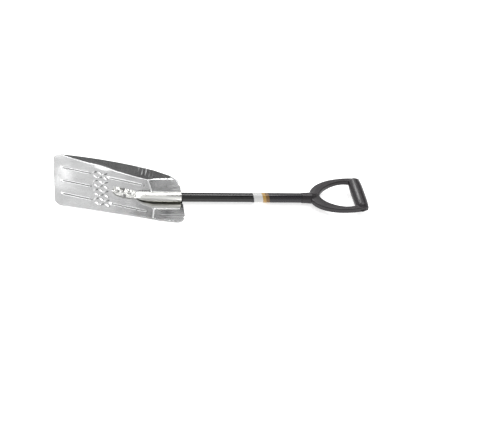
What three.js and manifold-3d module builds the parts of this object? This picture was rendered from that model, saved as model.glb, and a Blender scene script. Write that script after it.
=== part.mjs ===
// A small aluminium grain scoop shovel: stamped blade, bright steel socket, tubular shaft, moulded D-grip.
// Millimetres. The shovel lies on its heel and on the grip's ferrule, with its shaft level and the front of
// the blade in the air: +Z up, +X towards the grip, Y across.
// The shaft frame has its X axis along the shaft, and its origin is the point where the shaft's axis line
// meets the plane of the blade's floor. The blade frame is that frame pitched by BLADE_PITCH, so that the
// blade's flat floor is its plane z = 0.
import * as THREE from 'three';
import { mergeVertices } from 'three/addons/utils/BufferGeometryUtils.js';
import Module from 'manifold-3d';

const wasm = await Module();
wasm.setup();

// Driving dimensions
const GAP = 0.3;                  // air kept between touching pieces
const BLADE_PITCH = THREE.MathUtils.degToRad(15.3);

// Blade, in the blade frame: x back along the floor, y across, z up from the floor
const SHEET = 1.6;
const FRONT_X = -235;
const REAR_X = 110.8;
const FRONT_HALF = 104;
const SIDE_BULGE = 3;             // how far the rims bow out between the front edge and TAPER_X
const TAPER_X = 40;               // behind this the rims draw in
const TAPER = 0.17;
const FRONT_CORNER_R = 25;
const REAR_CORNER_R = 30;
const RIM_HEIGHT = 18.5;
const RIM_START_X = -226;         // the side walls begin here, at nothing
const RIM_FULL_X = 30;
const WALL_RUN = 1.376;           // a wall leans outwards this much for each millimetre of height
const FOLD_SIDE_X = 25;           // the fold between floor and back ramp, at the blade's sides
const FOLD_BOW = 9.5;             // and how much further back it lies on the centre line
const FOLD_HALF = 80.5;
const BEAD_HALF = 5;
const BEAD_HEIGHT = 2.2;
const BEAD_PITCH = 53;
const FRONT_BEADS = { from: -217, to: -136, lines: [-BEAD_PITCH, 0, BEAD_PITCH] };
const REAR_BEADS = { from: -90, to: 13, lines: [-BEAD_PITCH, BEAD_PITCH] };
const LOZENGES = { fromX: -124, columns: 3, pitchX: 13.5, rows: 8, pitchY: 18 };
const LOZENGE = { long: 16, wide: 6, high: 1.4, turn: Math.PI / 5 };

// Channel pressed into the blade under the socket
const CHANNEL_FRONT_X = -10.4;
const CHANNEL_DEEP_X = 17.2;
const CHANNEL_FLAT = { waist: 15, deep: 9 };                 // half its flat bottom
const CHANNEL_MOUTH = { waist: 20, fold: 38.5, rear: 29 };   // half its mouth
const CHANNEL_NARROWS_X = 70;
const SHELF = { from: 0.27, rise: 0.8 };    // its sides rise steeply at first, then run on as a shelf

// Socket and shaft, in the shaft frame
const SHAFT_R = 12.5;
const SHAFT_WALL = 1.2;
const SHAFT_FROM = 20;
const SHAFT_TO = 470;
const SOCKET_WALL = 0.9;
const SOCKET_R = SHAFT_R + GAP + SOCKET_WALL;
const SOCKET_TO = 106;
const SOCKET_ROUND_X = 14;
const SOCKET_DIP_X = -10;         // behind this the socket's underside dips into the channel
const TONGUE_X = -75;
const TONGUE_HALF = 17.5;
const TONGUE_THICK = 2.6;
const TONGUE_LIFT = 0.05;
const WAIST = { from: -34, to: -10, half: 14.5 };
const FLAT_TO_X = -12;            // the tongue starts to open into the tube here
const ROUND = 40;                 // facets round the tube and the sleeves on it

// Fasteners
const TONGUE_RIVET = { x: -48.3, y: 13.4, shank: 2.4, head: 4.8, rise: 1.7 };
const WASHER = { inner: TONGUE_RIVET.shank + GAP, outer: 6.5, thick: 1.2 };
const CHANNEL_RIVETS = { front: 34, rear: 84 };
const CHANNEL_UNDERSIDE = -(SOCKET_R + GAP) - SHEET * Math.cos(BLADE_PITCH);
const SCREW = { x: 447, shank: 2.1 };
const SINK_R = 3.7;               // flush heads: their radius, and how far they lie below the surface
const FLUSH = 0.15;

// Label sleeve and D-grip
const LABEL = { from: 297, to: 433, wall: 0.45 };
const FERRULE_R = 14.6;
const FERRULE_FROM = 434;
const FERRULE_TO = 462;
const FERRULE_FOOT_R = -CHANNEL_UNDERSIDE;      // its shoulder touches the ground when the heel does
const GRIP_RISE = THREE.MathUtils.degToRad(5.2);
const GRIP_HINGE_X = 452;         // where the D starts to rise from the shaft's line
const D_CENTRE = 108;             // centre of the D's elliptical outline, from there
const D_LONG = 103;
const D_HALF = 66;
const D_POWER = 2.1;
const D_BACK_X = 157;
const D_OPENING = { long: 75, half: 53, power: 1.7, backX: 124 };
const ARM_DEEP = 15.5;
const ARM_BEVEL = 2.5;
const BAR_X = 140.8;
const BAR_R = 16;                 // half its height
const BAR_OVAL = 18.7 / BAR_R;    // it is that much wider than high
const BAR_END_R = 7.4;
const BAR_HALF = 60.5;
const BAR_HOLLOW_R = 7;
const PLUG_DEEP = 12;

const metal = (color, roughness) => new THREE.MeshStandardMaterial({ color, roughness, metalness: 1 });
const plastic = (color, roughness) => new THREE.MeshStandardMaterial({ color, roughness, metalness: 0 });
const aluminium = metal('#c9cacb', 0.3);
const bright_steel = metal('#dedfda', 0.2);
const rivet_steel = metal('#77787a', 0.4);
const black_enamel = plastic('#2f3031', 0.45);
const label_film = plastic('#3a393c', 0.4);
const black_plastic = plastic('#333337', 0.5);

const smoothstep = (t) => t * t * (3 - 2 * t);
const clamp01 = (t) => Math.min(1, Math.max(0, t));
const mix = (a, b, t) => a + (b - a) * t;
// The coordinate c of a point on the unit circle, moved onto a superellipse of this power.
const bulge = (c, power) => Math.sign(c) * Math.abs(c) ** (2 / power);

// A closed geometry as a manifold-3d solid, and back.
function solid(geometry, matrix = new THREE.Matrix4()) {
  const bare = geometry.clone().applyMatrix4(matrix);
  bare.deleteAttribute('normal');
  bare.deleteAttribute('uv');
  const merged = mergeVertices(bare, 1e-4);
  return new wasm.Manifold(new wasm.Mesh({
    numProp: 3,
    vertProperties: new Float32Array(merged.attributes.position.array),
    triVerts: new Uint32Array(merged.index.array),
  }));
}

function geometryOf(made) {
  const { vertProperties, triVerts } = made.getMesh();
  const geometry = new THREE.BufferGeometry();
  geometry.setAttribute('position', new THREE.BufferAttribute(vertProperties, 3));
  geometry.setIndex(new THREE.BufferAttribute(triVerts, 1));
  return geometry;
}

const moved = (x, y, z) => new THREE.Matrix4().makeTranslation(x, y, z);
const bladeToShaft = new THREE.Matrix4().makeRotationY(BLADE_PITCH);
const shaftToBlade = bladeToShaft.clone().invert();

// A solid of revolution along Z from [radius, z] points in order of rising z on the outside.
function turned(points, facets = 24) {
  const profile = points.map(([r, z]) => new THREE.Vector2(r, z));
  return new THREE.LatheGeometry(profile, facets).rotateX(Math.PI / 2);
}

// A pipe or rod along X.
function rodX(radius, from, to, facets = ROUND) {
  return turned([[0, from], [radius, from], [radius, to], [0, to]], facets).rotateY(Math.PI / 2);
}

function pipeX(inner, outer, from, to) {
  return turned([[inner, from], [outer, from], [outer, to], [inner, to], [inner, from]], ROUND)
    .rotateY(Math.PI / 2);
}

// Upright cylinder used to drill holes, standing at x, y.
function drill(radius, x, y, from, to) {
  return turned([[0, from], [radius, from], [radius, to], [0, to]], 20).translate(x, y, 0);
}

// ---- Blade ----

function rimHalf(x) {
  const bulge = SIDE_BULGE * Math.sin(Math.PI * clamp01((x - FRONT_X) / (TAPER_X - FRONT_X)));
  const side = FRONT_HALF + bulge - TAPER * Math.max(0, x - TAPER_X);
  const intoFront = FRONT_CORNER_R - (x - FRONT_X);
  if (intoFront > 0) return side - FRONT_CORNER_R + Math.sqrt(FRONT_CORNER_R ** 2 - intoFront ** 2);
  const intoRear = REAR_CORNER_R - (REAR_X - x);
  if (intoRear > 0) return side - REAR_CORNER_R + Math.sqrt(REAR_CORNER_R ** 2 - intoRear ** 2);
  return side;
}

function wallHeight(x) {
  const toFull = clamp01((x - RIM_START_X) / (RIM_FULL_X - RIM_START_X));
  return RIM_HEIGHT * (1 - (1 - toFull) ** 1.6);
}

const foldX = (y) => FOLD_SIDE_X + FOLD_BOW * Math.max(0, 1 - (y / FOLD_HALF) ** 2);
const rampHeight = (x, y) => RIM_HEIGHT * Math.max(0, (x - foldX(y)) / (REAR_X - foldX(y)));

// Height of the channel's bottom on the centre line: parallel to the shaft, with a sloping front.
const toDeep = (x) => clamp01((x - CHANNEL_FRONT_X) / (CHANNEL_DEEP_X - CHANNEL_FRONT_X));

function channelBottom(x) {
  const bed = Math.max(x, CHANNEL_DEEP_X) * Math.tan(BLADE_PITCH) - (SOCKET_R + GAP) / Math.cos(BLADE_PITCH);
  return bed * toDeep(x);
}

const channelFlat = (x) => mix(CHANNEL_FLAT.waist, CHANNEL_FLAT.deep, toDeep(x));

// Half the channel's mouth: it opens out from the waist to the fold and draws in again at the rear rim.
function channelHalf(x) {
  const { waist, fold, rear } = CHANNEL_MOUTH;
  const toFold = clamp01((x - CHANNEL_FRONT_X) / (FOLD_SIDE_X + FOLD_BOW - CHANNEL_FRONT_X));
  const toRear = clamp01((x - CHANNEL_NARROWS_X) / (REAR_X - CHANNEL_NARROWS_X));
  return mix(waist, fold, toFold) - (fold - rear) * toRear;
}

function bladeHeight(x, y) {
  const side = Math.abs(y);
  const foot = rimHalf(x) - WALL_RUN * wallHeight(x);
  const wall = Math.max(0, (side - foot) / WALL_RUN);
  const pan = Math.max(wall, rampHeight(x, y));
  if (x <= CHANNEL_FRONT_X) return pan;
  const share = clamp01((side - channelFlat(x)) / (channelHalf(x) - channelFlat(x)));
  const shelved = share < SHELF.from
    ? share * SHELF.rise / SHELF.from
    : mix(SHELF.rise, 1, (share - SHELF.from) / (1 - SHELF.from));
  return Math.min(pan, mix(channelBottom(x), pan, mix(share, shelved, toDeep(x))));
}

// Cross positions of the sheet's mesh lines at station x, from the centre line to the rim.
function bladeColumns(x) {
  const rim = rimHalf(x);
  const foot = rim - WALL_RUN * wallHeight(x);
  const valley = Math.max(foot + WALL_RUN * rampHeight(x, FOLD_HALF), 0);
  const bend = Math.min(valley, rim - 0.6);
  const mouth = Math.min(channelHalf(x), bend - 6);
  const flat = channelFlat(x);
  return [0, flat, mix(flat, mouth, SHELF.from), mouth, mix(mouth, bend, 0.5), bend,
    mix(bend, rim, 0.5), rim];
}

function bladeSheet() {
  const corner = [0, 0.04, 0.15, 0.35, 0.65, 1];
  const stations = [
    ...corner.map((t) => FRONT_X + FRONT_CORNER_R * t),
    -190, -165, -140, -115, -90, -65, -40, -22, CHANNEL_FRONT_X, 3, CHANNEL_DEEP_X, FOLD_SIDE_X, 40, 55, 68,
    ...corner.map((t) => REAR_X - REAR_CORNER_R * t).reverse(),
  ];
  const rows = stations.map((x) => {
    const half = bladeColumns(x);
    const across = [...half.slice(1).reverse().map((y) => -y), ...half];
    const nearFold = x < FOLD_SIDE_X
      ? clamp01((x - CHANNEL_DEEP_X) / (FOLD_SIDE_X - CHANNEL_DEEP_X))
      : 1 - clamp01((x - FOLD_SIDE_X) / (REAR_X - REAR_CORNER_R - FOLD_SIDE_X));
    return across.map((y) => {
      const bowed = x + nearFold * (foldX(y) - FOLD_SIDE_X);
      return [bowed, y, bladeHeight(bowed, y)];
    });
  });
  return sheetSolid(rows, SHEET);
}

// A closed sheet from rows of [x, y, z] points: the top as given, the underside lowered by thick.
function sheetSolid(rows, thick) {
  const across = rows[0].length;
  const along = rows.length;
  const positions = [];
  for (const drop of [0, thick]) {
    for (const row of rows) row.forEach(([x, y, z]) => positions.push(x, y, z - drop));
  }
  const under = along * across;
  const index = [];
  const quad = (a, b, c, d) => index.push(a, b, c, a, c, d);
  for (let i = 0; i + 1 < along; i += 1) {
    for (let j = 0; j + 1 < across; j += 1) {
      const p = i * across + j;
      quad(p, p + across, p + across + 1, p + 1);
      quad(under + p, under + p + 1, under + p + across + 1, under + p + across);
    }
    const left = i * across;
    const right = left + across - 1;
    quad(left, under + left, under + left + across, left + across);
    quad(right, right + across, under + right + across, under + right);
  }
  for (let j = 0; j + 1 < across; j += 1) {
    const front = j;
    const rear = (along - 1) * across + j;
    quad(front, front + 1, under + front + 1, under + front);
    quad(rear, under + rear, under + rear + 1, rear + 1);
  }
  const geometry = new THREE.BufferGeometry();
  geometry.setAttribute('position', new THREE.Float32BufferAttribute(positions, 3));
  geometry.setIndex(index);
  return geometry;
}

// A bead: a low rounded ridge with round ends, the upper half of a flattened capsule.
function bead(from, to, y, half, high) {
  const straight = to - from - 2 * half;
  const geometry = new THREE.CapsuleGeometry(half, straight, 3, 12);
  return geometry.rotateZ(Math.PI / 2).scale(1, 1, high / half).translate((from + to) / 2, y, 0);
}

// A tread-plate lozenge: a four-sided pad with sloping flanks.
function lozenge(x, y, turn) {
  const { long, wide, high } = LOZENGE;
  const pad = new THREE.CylinderGeometry(0.55, 1, 2 * high, 4).rotateX(Math.PI / 2);
  return pad.scale(long / 2, wide / 2, 1).rotateZ(turn).translate(x, y, 0);
}

// A shape's upper part only, rooted halfway down the sheet.
const rooted = (geometry) => solid(geometry).trimByPlane([0, 0, 1], -SHEET / 2);

function blade() {
  let sheet = solid(bladeSheet());
  for (const { from, to, lines } of [FRONT_BEADS, REAR_BEADS]) {
    for (const y of lines) {
      const hollow = bead(from + SHEET, to - SHEET, y, BEAD_HALF - SHEET, BEAD_HEIGHT - 0.4);
      sheet = sheet.add(rooted(bead(from, to, y, BEAD_HALF, BEAD_HEIGHT)));
      sheet = sheet.subtract(solid(hollow, moved(0, 0, -SHEET)));
    }
  }
  for (let i = 0; i < LOZENGES.columns; i += 1) {
    for (let j = 0; j < LOZENGES.rows; j += 1) {
      const y = (j - (LOZENGES.rows - 1) / 2) * LOZENGES.pitchY;
      const turn = (i + j) % 2 ? LOZENGE.turn : -LOZENGE.turn;
      sheet = sheet.add(rooted(lozenge(LOZENGES.fromX + i * LOZENGES.pitchX, y, turn)));
    }
  }
  const { x: holesX, y: holeY, shank } = TONGUE_RIVET;
  for (const y of [-holeY, holeY]) sheet = sheet.subtract(solid(drill(shank + GAP, holesX, y, -6, 6)));
  for (const x of Object.values(CHANNEL_RIVETS)) {
    sheet = sheet.subtract(solid(countersink(shank, x, CHANNEL_UNDERSIDE + FLUSH), shaftToBlade));
  }
  return geometryOf(sheet);
}

// ---- Socket: a round tube flattened at the front into a tongue that lies on the floor ----

// Level of the tongue's underside, just clear of the blade's floor.
const tongueLevel = (x) => -x * Math.tan(BLADE_PITCH) + GAP + TONGUE_LIFT;

// The section at station x, drawn in by inset: a flat oval on the tongue, a circle from SOCKET_ROUND_X on.
function socketSection(x, inset) {
  const toRound = smoothstep(clamp01((x - FLAT_TO_X) / (SOCKET_ROUND_X - FLAT_TO_X)));
  const dip = clamp01((x - SOCKET_DIP_X) / (SOCKET_ROUND_X - SOCKET_DIP_X));
  const toNose = Math.max(0, TONGUE_X + TONGUE_HALF - x);
  const nose = Math.sqrt(TONGUE_HALF ** 2 - toNose ** 2);
  const toWaist = smoothstep(clamp01((x - WAIST.from) / (WAIST.to - WAIST.from)));
  return {
    half: mix(mix(nose, WAIST.half, toWaist), SOCKET_R, toRound) - inset,
    bottom: mix(tongueLevel(Math.min(x, SOCKET_DIP_X)), -SOCKET_R, dip) + inset,
    top: mix(tongueLevel(x) + TONGUE_THICK, SOCKET_R, toRound) - inset,
    power: mix(6, 2, Math.sqrt(toRound)),
  };
}

function socketLoft(stations, inset) {
  const rings = stations.map((x) => {
    const { half, bottom, top, power } = socketSection(x, inset);
    return Array.from({ length: ROUND }, (_, k) => {
      const angle = (2 * Math.PI * k) / ROUND;
      const height = mix(bottom, top, (1 + bulge(Math.sin(angle), power)) / 2);
      return [x, half * bulge(Math.cos(angle), power), height];
    });
  });
  return loft(rings);
}

// A closed loft through rings of points, with flat ends.
function loft(rings) {
  const around = rings[0].length;
  const positions = rings.flat(2);
  const index = [];
  for (let i = 0; i + 1 < rings.length; i += 1) {
    for (let k = 0; k < around; k += 1) {
      const next = (k + 1) % around;
      const [a, b, c, d] = [i * around + k, i * around + next, (i + 1) * around + next, (i + 1) * around + k];
      index.push(a, b, c, a, c, d);
    }
  }
  const last = (rings.length - 1) * around;
  for (let k = 1; k + 1 < around; k += 1) {
    index.push(0, k + 1, k);
    index.push(last, last + k, last + k + 1);
  }
  const geometry = new THREE.BufferGeometry();
  geometry.setAttribute('position', new THREE.Float32BufferAttribute(positions, 3));
  geometry.setIndex(index);
  return geometry;
}

function socket() {
  const nose = [0.02, 0.1, 0.25, 0.5, 0.75, 1].map((t) => TONGUE_X + TONGUE_HALF * t);
  const flattening = [-7, -4, 0, 4, 8, 11, SOCKET_ROUND_X];
  const tongue = [...nose, -48, WAIST.from, -28, -22, -16, SOCKET_DIP_X];
  let made = solid(socketLoft([...tongue, ...flattening, SOCKET_TO], 0));
  made = made.subtract(solid(socketLoft([...flattening, SHAFT_FROM], SOCKET_WALL)));
  made = made.subtract(solid(rodX(SHAFT_R + GAP, SHAFT_FROM - 2, SOCKET_TO + 2)));
  for (const side of [-1, 1]) {
    const hole = drill(TONGUE_RIVET.shank + GAP, TONGUE_RIVET.x, side * TONGUE_RIVET.y, -6, 10);
    made = made.subtract(solid(hole, bladeToShaft));
  }
  for (const x of Object.values(CHANNEL_RIVETS)) {
    made = made.subtract(solid(drill(TONGUE_RIVET.shank + GAP, x, 0, -20, -6)));
  }
  return geometryOf(made);
}

// ---- Shaft ----

function shaftTube() {
  let made = solid(pipeX(SHAFT_R - SHAFT_WALL, SHAFT_R, SHAFT_FROM, SHAFT_TO));
  for (const x of Object.values(CHANNEL_RIVETS)) {
    made = made.subtract(solid(drill(TONGUE_RIVET.shank + GAP, x, 0, -20, -6)));
  }
  made = made.subtract(solid(drill(SCREW.shank + GAP, SCREW.x, 0, -20, -6)));
  return geometryOf(made);
}

const labelSleeve = () => pipeX(SHAFT_R + GAP, SHAFT_R + GAP + LABEL.wall, LABEL.from, LABEL.to);

// ---- Fasteners ----

// Blind rivet standing on z = 0 through a stack: domed head with its mandrel hole, shank, swollen tail below.
function tongueRivet() {
  const { shank, head, rise } = TONGUE_RIVET;
  const top = GAP + TONGUE_LIFT + TONGUE_THICK + GAP;
  const bottom = -SHEET - GAP - WASHER.thick - GAP;
  return turned([
    [0, bottom - 4.5], [2.6, bottom - 4.2], [3.6, bottom - 2.4], [3.6, bottom - 0.6], [shank, bottom],
    [shank, top], [head, top], [head, top + 0.5], [head * 0.72, top + rise * 0.85], [1.2, top + rise],
    [1.2, top + rise - 0.9], [0, top + rise - 0.9],
  ]);
}

function rivetWasher() {
  const { inner, outer, thick } = WASHER;
  return turned([[inner, 0], [outer, 0], [outer, thick], [inner, thick], [inner, 0]]);
}

// Flush-headed blind rivet that enters from below, through the channel, and swells inside the shaft.
function channelRivet() {
  const { shank } = TONGUE_RIVET;
  const under = CHANNEL_UNDERSIDE + FLUSH;
  const tail = -(SHAFT_R - SHAFT_WALL) + GAP;
  return turned([
    [0, under + 0.8], [1.1, under + 0.8], [1.1, under], [SINK_R, under], [shank, under + SINK_R - shank],
    [shank, tail], [3.5, tail + 0.6], [3.5, tail + 2.6], [2.4, tail + 4], [0, tail + 4.2],
  ]);
}

// Countersunk screw driven up through the ferrule's underside into the shaft.
function gripScrew() {
  const under = -FERRULE_R + FLUSH;
  const neck = under + SINK_R - SCREW.shank;
  return turned([
    [0, under + 0.9], [1.3, under + 0.9], [1.3, under], [SINK_R, under],
    [SCREW.shank, neck], [SCREW.shank, -7.5], [0, -6],
  ]);
}

// The countersunk hole that takes such a head: a drilled hole with a cone at its lower end.
function countersink(radius, x, under) {
  const rise = SINK_R - radius;
  return turned([
    [0, under - 2], [SINK_R + GAP, under - 2], [SINK_R + GAP, under + 0.1],
    [radius + GAP, under + rise + 0.1], [radius + GAP, -6], [0, -6],
  ], 20).translate(x, 0, 0);
}

// ---- D-grip, in its own frame: x back from GRIP_HINGE_X, rising by GRIP_RISE ----

const gripFrame = moved(GRIP_HINGE_X, 0, 0).multiply(new THREE.Matrix4().makeRotationY(-GRIP_RISE));

// Closed outline of a D: part of an ellipse at the front, cut straight across at the back.
// A power below 2 draws the ellipse towards a point at the shaft.
function dOutline(long, half, back, power) {
  const steps = 28;
  const end = Math.acos(((back - D_CENTRE) / long) ** (power / 2));
  return Array.from({ length: steps + 1 }, (_, i) => {
    const angle = mix(end, 2 * Math.PI - end, i / steps);
    const x = D_CENTRE + long * bulge(Math.cos(angle), power);
    return new THREE.Vector2(x, half * bulge(Math.sin(angle), power));
  });
}

function dFrame() {
  const { long, half, power, backX } = D_OPENING;
  const shape = new THREE.Shape(dOutline(D_LONG, D_HALF, D_BACK_X, D_POWER));
  shape.holes.push(new THREE.Path(dOutline(long, half, backX, power).reverse()));
  const bevel = {
    bevelSegments: 2, bevelSize: ARM_BEVEL, bevelThickness: ARM_BEVEL, bevelOffset: -ARM_BEVEL,
  };
  const depth = ARM_DEEP - 2 * ARM_BEVEL;
  return new THREE.ExtrudeGeometry(shape, { depth, ...bevel }).translate(0, 0, -depth / 2);
}

// The hand bar is oval and barrel-shaped, with its ends drawn in to meet the arms.
function handBar() {
  const half = [
    [0, -1], [BAR_END_R, -1], [BAR_END_R + 3, -0.97],
    [BAR_R - 2.6, -0.91], [BAR_R - 1.1, -0.78], [BAR_R - 0.3, -0.45],
  ];
  const outside = [...half, [BAR_R, 0], ...half.map(([r, t]) => [r, -t]).reverse()];
  const bar = turned(outside.map(([r, t]) => [r, t * BAR_HALF]), 28);
  return bar.rotateX(-Math.PI / 2).scale(BAR_OVAL, 1, 1).translate(BAR_X, 0, 0);
}

function barHollow() {
  const hollow = turned([[0, -80], [BAR_HOLLOW_R, -80], [BAR_HOLLOW_R, 80], [0, 80]]);
  return hollow.rotateX(-Math.PI / 2).translate(BAR_X, 0, 0);
}

function dGrip() {
  const flare = turned([
    [0, FERRULE_FROM], [FERRULE_R - 1, FERRULE_FROM], [FERRULE_R - 0.3, FERRULE_FROM + 1.5],
    [FERRULE_R, FERRULE_TO - 14], [FERRULE_FOOT_R, FERRULE_TO], [FERRULE_R - 2, FERRULE_TO + 12],
    [FERRULE_R - 7, FERRULE_TO + 18], [0, FERRULE_TO + 18],
  ], ROUND).rotateY(Math.PI / 2);
  let made = solid(flare).add(solid(dFrame(), gripFrame)).add(solid(handBar(), gripFrame));
  made = made.subtract(solid(barHollow(), gripFrame));
  made = made.subtract(solid(rodX(SHAFT_R + GAP, FERRULE_FROM - 2, SHAFT_TO + GAP)));
  made = made.subtract(solid(countersink(SCREW.shank, SCREW.x, -FERRULE_R + FLUSH)));
  return geometryOf(made);
}

// Press-in plug that closes one end of the hollow bar, pointing out along +Z from its inner end.
function gripPlug() {
  const stem = BAR_HOLLOW_R - GAP;
  return turned([
    [0, -PLUG_DEEP], [stem - 1, -PLUG_DEEP], [stem, -PLUG_DEEP + 1.5],
    [stem, -0.4], [stem - 0.6, 0.2], [0, 0.4],
  ]);
}

// ---- Assembly ----

const shovel = new THREE.Group();
const shaftLine = new THREE.Group();
const bladeLine = new THREE.Group();
const gripLine = new THREE.Group();
shovel.add(shaftLine);
shaftLine.add(bladeLine, gripLine);
bladeLine.rotation.y = BLADE_PITCH;
gripLine.applyMatrix4(gripFrame);

// Adds a named mesh to a frame, at a point in it.
function place(parent, name, geometry, material, x = 0, y = 0, z = 0) {
  const mesh = new THREE.Mesh(geometry, material);
  mesh.name = name;
  mesh.position.set(x, y, z);
  parent.add(mesh);
  return mesh;
}

place(bladeLine, 'blade', blade(), aluminium);
place(shaftLine, 'socket', socket(), bright_steel);
place(shaftLine, 'shaft_tube', shaftTube(), black_enamel);
place(shaftLine, 'label_sleeve', labelSleeve(), label_film);
place(shaftLine, 'd_grip', dGrip(), black_plastic);
place(shaftLine, 'grip_screw', gripScrew(), rivet_steel, SCREW.x);
for (const [side, y] of [['near', -1], ['far', 1]]) {
  const across = y * TONGUE_RIVET.y;
  place(bladeLine, `tongue_rivet_${side}`, tongueRivet(), rivet_steel, TONGUE_RIVET.x, across, 0);
  const underSheet = -SHEET - GAP - WASHER.thick;
  place(bladeLine, `rivet_washer_${side}`, rivetWasher(), rivet_steel, TONGUE_RIVET.x, across, underSheet);
  const plug = place(gripLine, `grip_plug_${side}`, gripPlug(), black_plastic, BAR_X, y * BAR_HALF, 0);
  plug.rotation.x = -y * Math.PI / 2;
}
for (const [end, x] of Object.entries(CHANNEL_RIVETS)) {
  place(shaftLine, `channel_rivet_${end}`, channelRivet(), rivet_steel, x);
}

// Stand the shovel on the ground plane, centred over the origin.
const box = new THREE.Box3().setFromObject(shovel, true);
shovel.position.set(-(box.min.x + box.max.x) / 2, 0, -box.min.z);

export default shovel;
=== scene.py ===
"""A small aluminium grain scoop shovel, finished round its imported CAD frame.

Shapes are written in millimetres in one of three frames and baked into the row frame in metres. The
shaft frame has X along the shaft, from the point where its axis meets the plane of the blade's floor. The
blade frame is the shaft frame pitched so that the floor is z = 0. The grip frame starts where the D rises
from the shaft.
"""
import math

import bpy
import numpy as np
from mathutils import Matrix, Vector


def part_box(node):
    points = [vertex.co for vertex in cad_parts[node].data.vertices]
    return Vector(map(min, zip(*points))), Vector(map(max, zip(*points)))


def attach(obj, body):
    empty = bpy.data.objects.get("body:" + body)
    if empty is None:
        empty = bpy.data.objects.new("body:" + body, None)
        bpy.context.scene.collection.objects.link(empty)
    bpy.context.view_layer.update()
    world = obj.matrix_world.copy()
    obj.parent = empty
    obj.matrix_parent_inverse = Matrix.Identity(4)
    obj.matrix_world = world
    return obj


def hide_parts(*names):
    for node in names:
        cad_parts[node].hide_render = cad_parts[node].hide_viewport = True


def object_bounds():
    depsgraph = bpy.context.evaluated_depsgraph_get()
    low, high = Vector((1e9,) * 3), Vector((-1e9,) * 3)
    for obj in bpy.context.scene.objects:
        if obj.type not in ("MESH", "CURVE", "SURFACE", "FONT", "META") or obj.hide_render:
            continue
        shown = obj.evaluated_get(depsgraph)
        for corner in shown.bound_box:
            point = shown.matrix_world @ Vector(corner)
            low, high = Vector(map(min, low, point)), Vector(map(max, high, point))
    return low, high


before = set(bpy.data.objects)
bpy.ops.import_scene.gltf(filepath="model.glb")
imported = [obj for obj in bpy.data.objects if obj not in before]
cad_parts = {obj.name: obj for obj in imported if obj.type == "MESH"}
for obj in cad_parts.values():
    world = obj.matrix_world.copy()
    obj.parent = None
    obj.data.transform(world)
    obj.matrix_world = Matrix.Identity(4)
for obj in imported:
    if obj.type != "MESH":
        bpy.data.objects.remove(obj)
cad_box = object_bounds()

MM = 0.001
GAP = 0.3
BLADE_PITCH = math.radians(15.3)

# Blade, in the blade frame
SHEET = 1.6
EDGE_R = 0.5
FRONT_X = -235
REAR_X = 110.8
FRONT_HALF = 104
SIDE_BULGE = 3
TAPER_X = 40
TAPER = 0.17
FRONT_CORNER_R = 25
REAR_CORNER_R = 30
RIM_HEIGHT = 18.5
RIM_START_X = -226
RIM_FULL_X = 30
RIM_POWER = 1.8              # how soon along the blade the walls gain their height
WALL_RUN = 1.376             # how far a wall spreads for each millimetre that it rises
FOLD_SIDE_X = 25
FOLD_BOW = 9.5
FOLD_HALF = 80.5
FOLD_R = 3
FOLD_FRONT_REACH = 110       # over this length from the front the folds are crisper
FOLD_FRONT_CRISP = 0.45
FOLD_SOFT_X = -95            # the far fold is softest here
FOLD_SOFT_LONG = 26
FOLD_SOFT_EXTRA = 1.3
BEAD_HALF = 5
BEAD_HEIGHT = 2.2
BEAD_POWER = 1.3
BEADS = [                    # first x, last x and y
    (-217, -136, -53), (-217, -136, 0), (-217, -136, 53),
    (-90, 13, -53), (-90, 13, 53),
]
LOZENGE_FRONT_X = -124
LOZENGE_COLUMNS = 3
LOZENGE_PITCH_X = 13.5
LOZENGE_ROWS = 8
LOZENGE_PITCH_Y = 18
LOZENGE_LONG = 16
LOZENGE_WIDE = 6
LOZENGE_HIGH = 1.2
LOZENGE_POWER = 1.4
LOZENGE_TURN = math.pi / 5
CHANNEL_FRONT_X = -10.4
CHANNEL_DEEP_X = 17.2
CHANNEL_NARROWS_X = 70
CHANNEL_FLAT = (15, 9)       # half width of its flat bottom, at its front and where it is deep
CHANNEL_MOUTH = (20, 38.5)   # half width of its mouth, at its front and at the rear fold
CHANNEL_NARROWS = 9.5        # how much of that the mouth loses by the rear edge
SHELF_FROM = 0.27            # the channel's sides rise steeply over this share of their width,
SHELF_RISE = 0.8             # to this share of their height, and then more gently
DROOP_RUN = 66
DROOP = 1.7
DROOP_NEAR = 0.3             # the share of it at the near side and at the far wall
SWELLING_X = -98             # a shallow swelling at the far fold
SWELLING_Y = 89
SWELLING_LONG = 32
SWELLING_WIDE = 19
SWELLING_HIGH = 1.4
PUCKER_PITCH = 10.5
PUCKER = 0.2
CREASE_HIGH = 0.28
CREASE_SPREAD = 0.06         # how far a crease runs towards +Y for each millimetre to the rear
CREASES = [(-66, 42, 2.4), (-74, 52, 2.0), (37, 78, 2.6), (52, 70, 3.2)]    # y, first x and half width
BLADE_ROWS = 208
BLADE_COLUMNS = 173

# Socket and shaft, in the shaft frame
SHAFT_R = 12.5
SHAFT_WALL = 1.2
SHAFT_FROM = 20
SHAFT_TO = 470
SOCKET_R = SHAFT_R + GAP + 0.9
SOCKET_TO = 106
SOCKET_ROUND_X = 14
SOCKET_DIP_X = -10
TONGUE_X = -75
TONGUE_HALF = 17.5
TONGUE_THICK = 2.6
TONGUE_LIFT = 0.35
TONGUE_POWER = 6             # how square its section is, 2 being round
WAIST_HALF = 14.5
ROUNDING_FROM_X = -26        # from here to SOCKET_ROUND_X the flat tongue turns into a round tube
WAIST_FROM_X = -34
WAIST_TO_X = -10
NOTCH_X = -11                # a small step in at each side of the neck
NOTCH_LONG = 2.4
NOTCH_DEEP = 1.8
LIP_HIGH = 0.7               # the pressed tongue's raised sides and hollow middle
LIP_HOLLOW = 0.8
RIVET_X = -48.3
RIVET_Y = 13.4
RIVET_SHANK = 2.4
RIVET_HEAD = 4.8
RIVET_RISE = 1.7
RIVET_BULB = 3.6
WASHER_R = 6.5
WASHER_THICK = 1.2
CHANNEL_RIVETS = {"front": 34, "rear": 84}
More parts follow.
